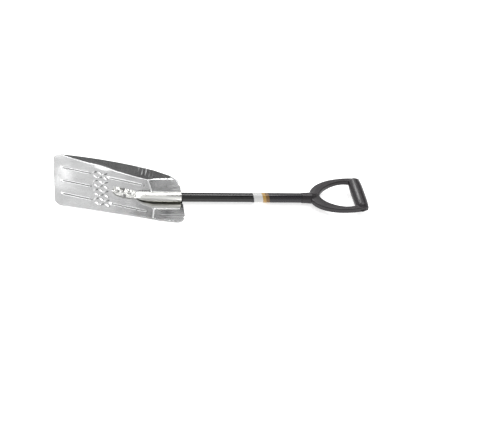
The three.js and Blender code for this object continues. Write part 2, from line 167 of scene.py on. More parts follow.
CHANNEL_UNDERSIDE = -(SOCKET_R + GAP) - SHEET * math.cos(BLADE_PITCH)
SINK_R = 3.7
SCREW_X = 447
SCREW_SHANK = 2.1

# Label and grip
LABEL_FROM = 297
LABEL_TO = 433
LABEL_WALL = 0.45
BAND_SLANT = 2.4             # millimetres along the shaft for each radian round it
BAND_EDGE = 0.4
LABEL_DARK = (0.010, 0.009, 0.013)
LABEL_BANDS = [
    (LABEL_FROM, 298.5, LABEL_DARK),
    (298.5, 323, (0.60, 0.60, 0.595)),
    (323, 332, (0.42, 0.25, 0.06)),
    (332, 341, (0.17, 0.09, 0.025)),
    (341, LABEL_TO, LABEL_DARK),
]
FERRULE_R = 14.6
FERRULE_FROM = 434
FERRULE_TO = 462
GRIP_RISE = math.radians(5.2)
GRIP_HINGE_X = 452
D_CENTRE = 108
D_LONG = 103
D_HALF = 66
D_OPENING_LONG = 75
D_OPENING_HALF = 53
D_POWER = 2.1
D_OPENING_POWER = 1.7
D_BACK_X = 157
D_OPENING_BACK_X = 124
ARM_DEEP = 15.5
ARM_CORNER_R = 3.2
ARM_CROWN = 0.35
BAR_X = 140.8
BAR_R = 16
BAR_OVAL = 18.7 / BAR_R
BAR_HALF = 60.5
BAR_HOLLOW_R = 7
PLUG_DEEP = 12
VOXEL = 0.6


tube_low, tube_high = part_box("shaft_tube")
axis_start = Vector((tube_low.x - SHAFT_FROM * MM, 0, (tube_low.z + tube_high.z) / 2))
SHAFT_FRAME = Matrix.Translation(axis_start) @ Matrix.Scale(MM, 4)
BLADE_FRAME = SHAFT_FRAME @ Matrix.Rotation(BLADE_PITCH, 4, "Y")
GRIP_FRAME = SHAFT_FRAME @ Matrix.Translation((GRIP_HINGE_X, 0, 0)) @ Matrix.Rotation(-GRIP_RISE, 4, "Y")
ALONG_X = Matrix.Rotation(math.pi / 2, 4, "Y")


# ---- Mesh helpers ----

def mix(a, b, t):
    return a + (b - a) * t


def smoothstep(t):
    t = np.clip(t, 0, 1)
    return t * t * (3 - 2 * t)


def bulge(c, power):
    """The coordinate c of a point on the unit circle, moved onto a superellipse of this power."""
    return math.copysign(abs(c) ** (2 / power), c)


def mesh_object(name, points, faces, place, sharp=math.radians(40)):
    """A smooth-shaded object from millimetre points in the frame place, baked into the row frame."""
    mesh = bpy.data.meshes.new(name)
    mesh.from_pydata([tuple(p) for p in points], [], faces)
    mesh.transform(place)
    mesh.validate()
    mesh.polygons.foreach_set("use_smooth", [True] * len(mesh.polygons))
    mesh.set_sharp_from_angle(angle=sharp)
    made = bpy.data.objects.new(name, mesh)
    bpy.context.scene.collection.objects.link(made)
    return made


def finished(piece, node, material):
    """Gives a piece its material, attaches it to the root body and hides the CAD node it stands for."""
    piece.data.materials.clear()
    piece.data.materials.append(material)
    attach(piece, "root")
    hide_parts(node)
    return piece


def filleted(profile, radius, closed=False, steps=4):
    """A profile of (radius, height) points with its corners rounded by short curves."""
    points = [Vector(p) for p in profile]
    count = len(points)
    made = []
    for i, corner in enumerate(points):
        if not closed and i in (0, count - 1):
            made.append(corner)
            continue
        before = points[i - 1] - corner
        after = points[(i + 1) % count] - corner
        start = corner + before.normalized() * min(radius, before.length * 0.45)
        end = corner + after.normalized() * min(radius, after.length * 0.45)
        for k in range(steps + 1):
            t = k / steps
            made.append(start * (1 - t) ** 2 + corner * 2 * t * (1 - t) + end * t ** 2)
    return made


def turned(profile, steps=64, closed=False):
    """Points and faces of a solid of revolution about Z. An open profile starts and ends on the axis."""
    points, faces, rings = [], [], []
    for radius, height in profile:
        if radius < 1e-6:
            rings.append([len(points)])
            points.append((0, 0, height))
            continue
        rings.append(list(range(len(points), len(points) + steps)))
        for k in range(steps):
            angle = 2 * math.pi * k / steps
            points.append((radius * math.cos(angle), radius * math.sin(angle), height))
    pairs = list(zip(rings, rings[1:]))
    if closed:
        pairs.append((rings[-1], rings[0]))
    for low, high in pairs:
        for k in range(steps):
            after = (k + 1) % steps
            below = [low[k % len(low)], low[after % len(low)]]
            above = [high[after % len(high)], high[k % len(high)]]
            faces.append(tuple(dict.fromkeys(below + above)))
    return points, faces


def lofted(rings):
    """Points and faces of a closed loft through rings of points, with flat ends."""
    around = len(rings[0])
    points = [p for ring in rings for p in ring]
    faces = []
    for i in range(len(rings) - 1):
        low, high = i * around, (i + 1) * around
        for k in range(around):
            after = (k + 1) % around
            faces.append((low + k, low + after, high + after, high + k))
    faces.append(tuple(range(around))[::-1])
    faces.append(tuple(range(len(points) - around, len(points))))
    return points, faces


def joined(*parts):
    """Several (points, faces) pairs as one."""
    points, faces = [], []
    for part_points, part_faces in parts:
        start = len(points)
        points += [tuple(p) for p in part_points]
        faces += [tuple(start + i for i in face) for face in part_faces]
    return points, faces


def placed(part, matrix):
    points, faces = part
    return [matrix @ Vector(p) for p in points], faces


def applied(piece):
    """The piece's mesh with its modifiers applied."""
    graph = bpy.context.evaluated_depsgraph_get()
    mesh = bpy.data.meshes.new_from_object(piece.evaluated_get(graph))
    piece.modifiers.clear()
    piece.data = mesh
    return piece


def carved(piece, cutter):
    """Cuts a closed cutter out of a piece."""
    cut = piece.modifiers.new("cut", "BOOLEAN")
    cut.operation = "DIFFERENCE"
    cut.solver = "EXACT"
    cut.object = cutter
    applied(piece)
    bpy.data.objects.remove(cutter)
    return piece


# ---- Materials ----

class Shader:
    """A Principled material with short calls for the nodes that vary it, in the row frame's coordinates."""

    def __init__(self, name, sockets):
        self.material = bpy.data.materials.new(name)
        self.material.use_nodes = True
        self.nodes = self.material.node_tree.nodes
        self.links = self.material.node_tree.links
        self.bsdf = self.nodes["Principled BSDF"]
        self.place = self.nodes.new("ShaderNodeTexCoord").outputs["Object"]
        for socket, value in sockets.items():
            self.bsdf.inputs[socket].default_value = value

    def link(self, output, socket):
        self.links.new(output, self.bsdf.inputs[socket])

    def mapped(self, scale=(1, 1, 1), turn=(0, 0, 0), shift=(0, 0, 0)):
        """Coordinates turned into a frame, then stretched."""
        turned_to = self.nodes.new("ShaderNodeMapping")
        turned_to.inputs["Location"].default_value = shift
        turned_to.inputs["Rotation"].default_value = turn
        self.links.new(self.place, turned_to.inputs["Vector"])
        stretched = self.nodes.new("ShaderNodeMapping")
        stretched.inputs["Scale"].default_value = scale
        self.links.new(turned_to.outputs["Vector"], stretched.inputs["Vector"])
        return stretched.outputs["Vector"]

    def noise(self, vector, scale, detail=3, roughness=0.5, distortion=0):
        node = self.nodes.new("ShaderNodeTexNoise")
        node.inputs["Scale"].default_value = scale
        node.inputs["Detail"].default_value = detail
        node.inputs["Roughness"].default_value = roughness
        node.inputs["Distortion"].default_value = distortion
        self.links.new(vector, node.inputs["Vector"])
        return node.outputs["Fac"]

    def ramp(self, value, *stops):
        """Colours between (position, grey or colour) stops."""
        node = self.nodes.new("ShaderNodeValToRGB")
        elements = node.color_ramp.elements
        while len(elements) < len(stops):
            elements.new(0.5)
        for element, (position, colour) in zip(elements, stops):
            element.position = position
            element.color = (*([colour] * 3 if np.isscalar(colour) else colour), 1)
        self.links.new(value, node.inputs["Fac"])
        return node.outputs["Color"]

    def span(self, value, low, high, to_low=0, to_high=1):
        """A value carried from one range to another."""
        node = self.nodes.new("ShaderNodeMapRange")
        limits = {"From Min": low, "From Max": high, "To Min": to_low, "To Max": to_high}
        for socket, number in limits.items():
            node.inputs[socket].default_value = number
        self.links.new(value, node.inputs["Value"])
        return node.outputs["Result"]

    def math(self, operation, a, b=0.0, c=0.0):
        node = self.nodes.new("ShaderNodeMath")
        node.operation = operation
        for socket, value in zip(node.inputs, (a, b, c)):
            if isinstance(value, bpy.types.NodeSocket):
                self.links.new(value, socket)
            else:
                socket.default_value = value
        return node.outputs["Value"]

    def axis(self, vector, name):
        node = self.nodes.new("ShaderNodeSeparateXYZ")
        self.links.new(vector, node.inputs["Vector"])
        return node.outputs[name]

    def multiplied(self, a, b):
        """The product of two colours."""
        node = self.nodes.new("ShaderNodeMix")
        node.data_type = "RGBA"
        node.blend_type = "MULTIPLY"
        node.inputs[0].default_value = 1
        colours = [socket for socket in node.inputs if socket.type == "RGBA"]
        for socket, value in zip(colours, (a, b)):
            self.links.new(value, socket)
        return next(socket for socket in node.outputs if socket.type == "RGBA")

    def bump(self, *layers):
        """Relief from (height, strength, distance) layers, one on another."""
        normal = None
        for height, strength, distance in layers:
            node = self.nodes.new("ShaderNodeBump")
            node.inputs["Strength"].default_value = strength
            node.inputs["Distance"].default_value = distance
            self.links.new(height, node.inputs["Height"])
            if normal is not None:
                self.links.new(normal, node.inputs["Normal"])
            normal = node.outputs["Normal"]
        self.link(normal, "Normal")


def aluminium_material():
    shader = Shader("stamped_aluminium", {"Metallic": 0.93})
    rolled = shader.mapped(scale=(0.06, 1, 1), turn=(0, -BLADE_PITCH, 0))
    even = shader.mapped()
    streaks = shader.noise(rolled, 900, detail=4, roughness=0.65)
    clouds = shader.noise(even, 14, detail=4, roughness=0.55, distortion=0.6)
    scuffs = shader.noise(shader.mapped(scale=(1, 0.12, 1)), 240, detail=5, roughness=0.7)
    tone = shader.math("MULTIPLY_ADD", streaks, 0.35, shader.math("MULTIPLY", clouds, 0.65))
    shader.link(shader.ramp(tone, (0.3, (0.64, 0.643, 0.646)), (0.7, (0.74, 0.743, 0.746))), "Base Color")
    grain = shader.math("MULTIPLY_ADD", clouds, 0.6, shader.math("MULTIPLY", scuffs, 0.4))
    shader.link(shader.span(grain, 0.3, 0.7, 0.12, 0.21), "Roughness")
    shader.bump((clouds, 0.35, 0.0009), (streaks, 0.12, 0.00012))
    return shader.material


def socket_material():
    shader = Shader("plated_steel", {"Metallic": 0.88})
    height = shader.axis(shader.mapped(), "Z")
    along = shader.axis(shader.mapped(), "X")
    drawn = shader.noise(shader.mapped(scale=(0.05, 1, 1)), 700, detail=4)
    patches = shader.noise(shader.mapped(), 60, detail=3)
    # Painted shade: below the socket's axis the base colour turns darker and olive, so the tube's underside
    # looks shaded whatever the light.
    up = shader.math("MULTIPLY_ADD", patches, 0.008, height)
    share = shader.span(up, axis_start.z - 0.012, axis_start.z + 0.006)
    painted_shade_underside = shader.ramp(share, (0.0, (0.60, 0.58, 0.42)), (1.0, (0.90, 0.90, 0.87)))
    shader.link(painted_shade_underside, "Base Color")
    shader.link(shader.span(patches, 0.3, 0.7, 0.14, 0.24), "Roughness")
    flattened = shader.span(along, axis_start.x - 0.022, axis_start.x - 0.004, 1, 0.06)
    dents = shader.math("MULTIPLY", shader.noise(shader.mapped(), 95, detail=1), flattened)
    shader.bump((dents, 1.0, 0.0020), (drawn, 0.1, 0.0001))
    return shader.material


def rivet_material():
    shader = Shader("rivet_steel", {"Metallic": 1.0})
    speckle = shader.noise(shader.mapped(), 500, detail=3)
    shader.link(shader.ramp(speckle, (0.35, 0.16), (0.7, 0.30)), "Base Color")
    shader.link(shader.span(speckle, 0.3, 0.7, 0.3, 0.45), "Roughness")
    shader.bump((speckle, 0.2, 0.0001))
    return shader.material


def enamel_material():
    shader = Shader("black_enamel", {"Metallic": 0.0, "Specular IOR Level": 0.5})
    peel = shader.noise(shader.mapped(), 420, detail=2)
    wear = shader.noise(shader.mapped(scale=(0.2, 1, 1)), 300, detail=5, roughness=0.7)
    shader.link(shader.ramp(wear, (0.4, 0.006), (0.75, 0.014)), "Base Color")
    shader.link(shader.span(wear, 0.3, 0.7, 0.13, 0.22), "Roughness")
    shader.bump((peel, 0.06, 0.0001))
    return shader.material


def label_material():
    """Printed film: slanted pale, gold and brown bands near its front end, black behind them."""
    shader = Shader("label_film", {"Metallic": 0.0, "Specular IOR Level": 0.5})
    place = shader.mapped(shift=(-axis_start.x, 0, -axis_start.z))
    along = shader.math("MULTIPLY", shader.axis(place, "X"), 1 / MM)
    round_shaft = shader.math("ARCTAN2", shader.axis(place, "Y"), shader.axis(place, "Z"))
    station = shader.math("MULTIPLY_ADD", round_shaft, BAND_SLANT, along)
    bands = shader.span(station, LABEL_FROM, LABEL_TO)
    print_grain = shader.noise(shader.mapped(), 1500, detail=2)
    reach = LABEL_TO - LABEL_FROM
    stops = []
    for start, end, colour in LABEL_BANDS:
        stops.append(((start + BAND_EDGE - LABEL_FROM) / reach, colour))
        stops.append(((end - BAND_EDGE - LABEL_FROM) / reach, colour))
    inks = shader.ramp(bands, *stops)
    shade = shader.ramp(print_grain, (0.3, 0.88), (0.7, 1.0))
    shader.link(shader.multiplied(inks, shade), "Base Color")
    shader.link(shader.span(print_grain, 0.3, 0.7, 0.22, 0.30), "Roughness")
    shader.bump((print_grain, 0.05, 0.0001))
    return shader.material


def plastic_material():
    """Fine-grained black moulding with slight flow marks."""
    shader = Shader("moulded_plastic", {"Metallic": 0.0, "Specular IOR Level": 0.5})
    grain = shader.noise(shader.mapped(), 1400, detail=3, roughness=0.6)
    flow = shader.noise(shader.mapped(scale=(0.4, 1, 1)), 45, detail=3)
    shader.link(shader.ramp(flow, (0.3, (0.007, 0.005, 0.007)), (0.7, (0.014, 0.010, 0.013))), "Base Color")
    shader.link(shader.span(flow, 0.3, 0.7, 0.32, 0.40), "Roughness")
    shader.bump((flow, 0.1, 0.001), (grain, 0.18, 0.00012))
    return shader.material


ALUMINIUM = aluminium_material()
PLATED = socket_material()
RIVET = rivet_material()
ENAMEL = enamel_material()
LABEL = label_material()
PLASTIC = plastic_material()


# ---- Blade ----

def rim_half(x, inset=0.0):
    """Half the blade's width at station x, with the outline drawn in by inset."""
    along = np.clip((x - FRONT_X) / (TAPER_X - FRONT_X), 0, 1)
    side = FRONT_HALF + SIDE_BULGE * np.sin(math.pi * along) - TAPER * np.maximum(0, x - TAPER_X) - inset
    corners = ((FRONT_CORNER_R, FRONT_X + FRONT_CORNER_R - x), (REAR_CORNER_R, x - REAR_X + REAR_CORNER_R))
    for radius, into in corners:
        reach = radius - inset
        side = side - reach + np.sqrt(reach ** 2 - np.clip(into, 0, reach) ** 2)
    return side


def folded(x, y):
    """Height of the bare sheet with sharp folds: floor, side walls, back ramp and the socket's channel."""
    side = np.abs(y)
    to_full = np.clip((x - RIM_START_X) / (RIM_FULL_X - RIM_START_X), 0, 1)
    wall_height = RIM_HEIGHT * (1 - (1 - to_full) ** RIM_POWER)
    wall = (side - rim_half(x) + WALL_RUN * wall_height) / WALL_RUN
    fold = FOLD_SIDE_X + FOLD_BOW * np.maximum(0, 1 - (y / FOLD_HALF) ** 2)
    ramp = RIM_HEIGHT * (x - fold) / (REAR_X - fold)
    outwards = np.clip((y - SWELLING_Y) / SWELLING_WIDE + 1, 0, 1) ** 2
    swelling = outwards * np.exp(-(((x - SWELLING_X) / SWELLING_LONG) ** 2))
    pan = np.maximum(SWELLING_HIGH * swelling, np.maximum(wall, ramp))

    to_deep = np.clip((x - CHANNEL_FRONT_X) / (CHANNEL_DEEP_X - CHANNEL_FRONT_X), 0, 1)
    clearance = (SOCKET_R + GAP) / math.cos(BLADE_PITCH)
    bottom = (np.maximum(x, CHANNEL_DEEP_X) * math.tan(BLADE_PITCH) - clearance) * to_deep
    flat = mix(*CHANNEL_FLAT, to_deep)
    to_fold = np.clip((x - CHANNEL_FRONT_X) / (FOLD_SIDE_X + FOLD_BOW - CHANNEL_FRONT_X), 0, 1)
    to_rear = np.clip((x - CHANNEL_NARROWS_X) / (REAR_X - CHANNEL_NARROWS_X), 0, 1)
    mouth = mix(*CHANNEL_MOUTH, to_fold) - CHANNEL_NARROWS * to_rear
    share = np.clip((side - flat) / (mouth - flat), 0, 1)
    shelf = mix(SHELF_RISE, 1, (share - SHELF_FROM) / (1 - SHELF_FROM))
    shelved = np.where(share < SHELF_FROM, share * SHELF_RISE / SHELF_FROM, shelf)
    channel = mix(bottom, pan, mix(share, shelved, to_deep))
    return np.where(x > CHANNEL_FRONT_X, np.minimum(pan, channel), pan)


def softened(x, y, reach):
    """The folded height averaged over a small window, which gives every fold the sheet's bending radius."""
    total, weights = 0, 0
    for a in np.linspace(-0.9, 0.9, 9):
        for b in np.linspace(-0.9, 0.9, 9):
            weight = (1 - a * a) * (1 - b * b)
            total = total + weight * folded(x + a * reach, y + b * reach)
            weights += weight
    return total / weights


def beads(x, y):
    height = np.zeros_like(x)
    for start, end, line in BEADS:
        past = np.maximum(0, np.maximum(start + BEAD_HALF - x, x - end + BEAD_HALF))
        away = np.clip(np.hypot(past, y - line) / BEAD_HALF, 0, 1)
        height = np.maximum(height, BEAD_HEIGHT * np.cos(math.pi / 2 * away) ** BEAD_POWER)
    return height


def lozenges(x, y):
    height = np.zeros_like(x)
    for i in range(LOZENGE_COLUMNS):
        for j in range(LOZENGE_ROWS):
            dx = x - LOZENGE_FRONT_X - i * LOZENGE_PITCH_X
            dy = y - (j - (LOZENGE_ROWS - 1) / 2) * LOZENGE_PITCH_Y
            turn = LOZENGE_TURN if (i + j) % 2 else -LOZENGE_TURN
            u = (dx * math.cos(turn) + dy * math.sin(turn)) / (LOZENGE_LONG / 2)
            v = (dy * math.cos(turn) - dx * math.sin(turn)) / (LOZENGE_WIDE / 2)
            width = np.sqrt(np.clip(1 - u * u, 1e-6, 1))
            crest = np.cos(math.pi / 2 * np.clip(np.abs(v) / width, 0, 1)) ** LOZENGE_POWER
            height = np.maximum(height, LOZENGE_HIGH * crest * width)
    return height


def ripple(x, y):
    """The slight waviness that stamping leaves in thin sheet."""
    waves = 0.06 * np.sin(x / 13 + y / 31 + 0.6) * np.cos(y / 17 - 0.4)
    waves += 0.05 * np.sin(x / 29 - y / 21 + 1.9)
    return waves + 0.03 * np.sin(x / 7.5 + 2.0 * np.sin(y / 26))


def droop(x, y):
    """How far the floor turns down towards its front edge, most just beyond the middle."""
    near_edge = np.clip((FRONT_X + DROOP_RUN - x) / DROOP_RUN, 0, 1)
    across = smoothstep((y + 55) / 70) * (1 - smoothstep((y - 48) / 40))
    return DROOP * smoothstep(near_edge) * (DROOP_NEAR + (1 - DROOP_NEAR) * across)


def puckers(x, y, height):
    """Small gathers where the sheet is crowded into the rear corners."""
    gather = np.sin(2 * math.pi * x / PUCKER_PITCH + 1.3 * np.sin(y / 9)) + 0.6 * np.sin(x / 4.1 - y / 5)
    along = smoothstep((x + 20) / 25) * (1 - 0.7 * smoothstep((x - 15) / 25))
    on_wall = smoothstep((np.abs(y) - 78) / 10) * smoothstep((height - 2) / 6)
    return PUCKER * gather * along * on_wall


def creases(x, y):
    """Faint lines pressed along the back ramp on each side of the socket."""
    height = np.zeros_like(x)
    for line, start, wide in CREASES:
        ridge = np.exp(-(((y - line - CREASE_SPREAD * x) / wide) ** 2))
        height = height + CREASE_HIGH * ridge * smoothstep((x - start) / 12)
    return height


def blade_height(x, y):
    """Height of the sheet's upper face, with every relief on it."""
    to_front = 1 - smoothstep((x - RIM_START_X) / FOLD_FRONT_REACH)
    relaxed = np.exp(-(((x - FOLD_SOFT_X) / FOLD_SOFT_LONG) ** 2)) * smoothstep(y / 60)
    height = softened(x, y, FOLD_R * (1 - FOLD_FRONT_CRISP * to_front + FOLD_SOFT_EXTRA * relaxed))
    over_socket = smoothstep((x + 20) / 30) * (1 - smoothstep((np.abs(y) - 16) / 14))
    relief = beads(x, y) + lozenges(x, y) + ripple(x, y) * (1 - over_socket)
    return height + relief + puckers(x, y, height) + creases(x, y) - droop(x, y)


def blade_sheet():
    """The sheet's two faces on one grid, joined round the rim by a rounded edge."""
    turn = np.radians(np.arange(0, 90, 4))
    front = FRONT_X + FRONT_CORNER_R - (FRONT_CORNER_R - EDGE_R) * np.cos(turn)
    rear = REAR_X - REAR_CORNER_R + (REAR_CORNER_R - EDGE_R) * np.cos(turn[::-1])
    middle = np.linspace(FRONT_X + FRONT_CORNER_R, REAR_X - REAR_CORNER_R, BLADE_ROWS)
    stations = np.concatenate([front, middle, rear])
    across = np.linspace(-1, 1, BLADE_COLUMNS)
    x, share = np.meshgrid(stations, across, indexing="ij")
    y = share * rim_half(x, EDGE_R)
    rows, columns = x.shape
    top = np.stack([x, y, blade_height(x, y)], axis=-1).reshape(-1, 3)
    number = np.arange(rows * columns).reshape(rows, columns)

    border = np.concatenate([number[0, :-1], number[:-1, -1], number[-1, :0:-1], number[:0:-1, 0]])
    tangent = (np.roll(top[border], -1, axis=0) - np.roll(top[border], 1, axis=0))[:, :2]
    outward = np.stack([-tangent[:, 1], tangent[:, 0]], axis=-1)
    outward /= np.linalg.norm(outward, axis=1, keepdims=True)
    rings = []
    bend = np.radians([30, 60, 90])
    rounding = [(EDGE_R * math.sin(a), EDGE_R * (1 - math.cos(a))) for a in bend]
    rounding += [(out, SHEET - drop) for out, drop in reversed(rounding)]
    for out, drop in rounding:
        ring = top[border].copy()
        ring[:, :2] += outward * out
        ring[:, 2] -= drop
        rings.append(ring)
    points = np.concatenate([top, top - [0, 0, SHEET], *rings])

    a, b, c, d = number[:-1, :-1], number[1:, :-1], number[1:, 1:], number[:-1, 1:]
    upper = np.stack([a, b, c, d], axis=-1).reshape(-1, 4)
    lower = np.stack([a, d, c, b], axis=-1).reshape(-1, 4) + rows * columns
    loops = [border]
    for i in range(len(rings)):
        loops.append(np.arange(len(border)) + 2 * rows * columns + i * len(border))
    loops.append(border + rows * columns)
    bands = []
    for high, low in zip(loops, loops[1:]):
        bands.append(np.stack([high, np.roll(high, -1), np.roll(low, -1), low], axis=-1))
    faces = np.concatenate([upper, lower, *bands])
    return points, faces.tolist()


def make_blade():
    points, faces = blade_sheet()
    sheet = mesh_object("blade_sheet", points, faces, BLADE_FRAME)
    finished(sheet, "blade", ALUMINIUM)


# ---- Socket ----

def socket_section(x):
    """Half width, bottom, top and squareness of the socket at station x, and how flat it is pressed."""
    to_round = float(smoothstep((x - ROUNDING_FROM_X) / (SOCKET_ROUND_X - ROUNDING_FROM_X)))
    dip = min(1.0, max(0.0, (x - SOCKET_DIP_X) / (SOCKET_ROUND_X - SOCKET_DIP_X)))
    to_nose = max(0.0, TONGUE_X + TONGUE_HALF - x)
    nose = math.sqrt(max(0.0, TONGUE_HALF ** 2 - to_nose ** 2))
    to_waist = float(smoothstep((x - WAIST_FROM_X) / (WAIST_TO_X - WAIST_FROM_X)))
    notch = NOTCH_DEEP * math.exp(-((x - NOTCH_X) / NOTCH_LONG) ** 2)
    half = mix(mix(nose, WAIST_HALF, to_waist), SOCKET_R, to_round) - notch
    floor = TONGUE_LIFT - min(x, SOCKET_DIP_X) * math.tan(BLADE_PITCH)
    bottom = mix(floor, -SOCKET_R, dip)
    top = mix(TONGUE_LIFT - x * math.tan(BLADE_PITCH) + TONGUE_THICK, SOCKET_R, to_round)
    return half, bottom, top, mix(TONGUE_POWER, 2, to_round ** 0.35), 1 - to_round


def socket_rings():
    """Rings of the socket from its nose to its rear edge, and back inside it along the bore."""
    around = 96
    nose = [TONGUE_X + TONGUE_HALF * (1 - math.cos(math.radians(a))) for a in range(3, 90, 5)]
    flattened = list(np.linspace(TONGUE_X + TONGUE_HALF, SOCKET_ROUND_X, 60))
    rings = []
    for x in nose + flattened:
        half, bottom, top, power, flat = socket_section(x)
        ring = []
        for k in range(around):
            angle = 2 * math.pi * k / around
            u, w = bulge(math.cos(angle), power), bulge(math.sin(angle), power)
            lip = flat * (LIP_HIGH * abs(u) ** 6 - LIP_HOLLOW * (1 - u * u) ** 2) if w > 0 else 0
            ring.append((x, half * u, mix(bottom, top, (1 + w) / 2) + lip * min(1, half / TONGUE_HALF)))
        rings.append(ring)
    bore = SHAFT_R + 0.12
    tube = [
        (SOCKET_ROUND_X + 6, SOCKET_R), (60, SOCKET_R), (SOCKET_TO - 0.5, SOCKET_R),
        (SOCKET_TO - 0.15, SOCKET_R - 0.1), (SOCKET_TO, SOCKET_R - 0.4), (SOCKET_TO, bore + 0.2),
        (SOCKET_TO - 0.3, bore), (60, bore), (SHAFT_FROM, bore),
    ]
    for x, radius in tube:
        circle = []
        for k in range(around):
            angle = 2 * math.pi * k / around
            circle.append((x, radius * math.cos(angle), radius * math.sin(angle)))
        rings.append(circle)
    return rings


def make_socket():
    points, faces = lofted(socket_rings())
    finished(mesh_object("socket_tube", points, faces, SHAFT_FRAME), "socket", PLATED)


# ---- Shaft and label ----

def make_shaft():
    inner = SHAFT_R - SHAFT_WALL
    profile = [(inner, SHAFT_FROM), (SHAFT_R, SHAFT_FROM), (SHAFT_R, SHAFT_TO), (inner, SHAFT_TO)]
    points, faces = turned(filleted(profile, 0.4, closed=True), steps=96, closed=True)
    tube = mesh_object("shaft_enamelled_tube", points, faces, SHAFT_FRAME @ ALONG_X)
    finished(tube, "shaft_tube", ENAMEL)


def make_label():
    inner = SHAFT_R + 0.05
    outer = SHAFT_R + GAP + LABEL_WALL
    profile = [(inner, LABEL_FROM), (outer, LABEL_FROM), (outer, LABEL_TO), (inner, LABEL_TO)]
    points, faces = turned(filleted(profile, 0.25, closed=True), steps=96, closed=True)
    wrap = mesh_object("label_wrap", points, faces, SHAFT_FRAME @ ALONG_X)
    finished(wrap, "label_sleeve", LABEL)


# ---- Fasteners ----

def make_tongue_rivets():
    top = TONGUE_LIFT + TONGUE_THICK + GAP
    bottom = -SHEET - GAP - WASHER_THICK - GAP
    profile = [
        (0, bottom - 4.5), (2.6, bottom - 4.2), (RIVET_BULB, bottom - 2.4), (RIVET_BULB, bottom - 0.6),
        (RIVET_SHANK, bottom), (RIVET_SHANK, top - 0.2), (RIVET_HEAD, top - 0.2), (RIVET_HEAD, top + 0.4),
        (RIVET_HEAD * 0.72, top + RIVET_RISE * 0.8), (1.3, top + RIVET_RISE),
        (1.2, top + RIVET_RISE - 0.9), (0, top + RIVET_RISE - 0.9),
    ]
    bore = RIVET_SHANK + 0.2
    ring = [(bore, 0), (WASHER_R, 0), (WASHER_R, WASHER_THICK), (bore, WASHER_THICK)]
    for side, y in (("near", -RIVET_Y), ("far", RIVET_Y)):
        points, faces = turned(filleted(profile, 0.5), steps=40)
        stand = BLADE_FRAME @ Matrix.Translation((RIVET_X, y, 0))
        rivet = mesh_object(f"tongue_rivet_{side}_head", points, faces, stand)
        finished(rivet, f"tongue_rivet_{side}", RIVET)
        points, faces = turned(filleted(ring, 0.3, closed=True), steps=48, closed=True)
        under = BLADE_FRAME @ Matrix.Translation((RIVET_X, y, -SHEET - GAP - WASHER_THICK))
        washer = mesh_object(f"rivet_washer_{side}_ring", points, faces, under)
        finished(washer, f"rivet_washer_{side}", RIVET)


def make_channel_rivets():
    under = CHANNEL_UNDERSIDE + 0.15
    tail = -(SHAFT_R - SHAFT_WALL) + GAP
    profile = [
        (0, under + 0.8), (1.1, under + 0.8), (1.1, under), (SINK_R, under),
        (RIVET_SHANK, under + SINK_R - RIVET_SHANK), (RIVET_SHANK, tail), (3.5, tail + 0.6),
        (3.5, tail + 2.6), (2.4, tail + 4), (0, tail + 4.2),
    ]
    for end, x in CHANNEL_RIVETS.items():
        points, faces = turned(filleted(profile, 0.3), steps=40)
        place = SHAFT_FRAME @ Matrix.Translation((x, 0, 0))
        rivet = mesh_object(f"channel_rivet_{end}_head", points, faces, place)
        finished(rivet, f"channel_rivet_{end}", RIVET)


def box_part(size, centre):
    """Points and faces of a cutter block."""
    corners = [(x, y, z) for x in (-1, 1) for y in (-1, 1) for z in (-1, 1)]
    points = [tuple(c + s / 2 * k for c, s, k in zip(centre, size, corner)) for corner in corners]
    return points, [(0, 1, 3, 2), (4, 6, 7, 5), (0, 4, 5, 1), (2, 3, 7, 6), (0, 2, 6, 4), (1, 5, 7, 3)]


def make_grip_screw():
    under = -FERRULE_R + 0.15
    profile = [
        (0, under), (SINK_R, under), (SCREW_SHANK, under + SINK_R - SCREW_SHANK),
        (SCREW_SHANK, -7.5), (0, -6),
    ]
    points, faces = turned(filleted(profile, 0.25), steps=48)
    place = SHAFT_FRAME @ Matrix.Translation((SCREW_X, 0, 0))
    screw = mesh_object("grip_screw_head", points, faces, place)
    for size in ((3.6, 0.8, 2.6), (0.8, 3.6, 2.6)):
        slot = mesh_object("slot_cutter", *box_part(size, (0, 0, under)), place)
        carved(screw, slot)
    finished(screw, "grip_screw", RIVET)


# ---- D-grip ----

def d_outline(long, half, back, power, steps):
    """Points round a D from one side of the bar to the other, through its nose."""
    end = math.acos(((back - D_CENTRE) / long) ** (power / 2))
    points = []
    for i in range(steps + 1):
        angle = mix(end, 2 * math.pi - end, i / steps)
        x = D_CENTRE + long * bulge(math.cos(angle), power)
        points.append(Vector((x, half * bulge(math.sin(angle), power), 0)))
    return points


def arm_section(half_wide, half_deep, steps=5):
    """A rounded rectangle as (across, up) points, its broad faces slightly crowned."""
    radius = min(ARM_CORNER_R, half_wide * 0.9)
    points = []
    for quarter, (sx, sz) in enumerate(((1, 1), (-1, 1), (-1, -1), (1, -1))):
        for k in range(steps + 1):
            angle = math.pi / 2 * (quarter + k / steps)
            across = sx * (half_wide - radius) + radius * math.cos(angle)
            up = sz * (half_deep - radius) + radius * math.sin(angle)
            points.append((across, up))
        if quarter in (0, 2):
            points.append((0, sz * (half_deep + ARM_CROWN)))
    return points


def arms_part():
    steps = 150
    outer = d_outline(D_LONG, D_HALF, D_BACK_X, D_POWER, steps)
    inner = d_outline(D_OPENING_LONG, D_OPENING_HALF, D_OPENING_BACK_X, D_OPENING_POWER, steps)
    rings = []
    for out, into in zip(outer, inner):
        middle, reach = (out + into) / 2, (out - into) / 2
        ring = []
        for across, up in arm_section(reach.length, ARM_DEEP / 2 - ARM_CROWN):
            point = middle + reach.normalized() * across
            ring.append((point.x, point.y, up))
        rings.append(ring)
    return lofted(rings)


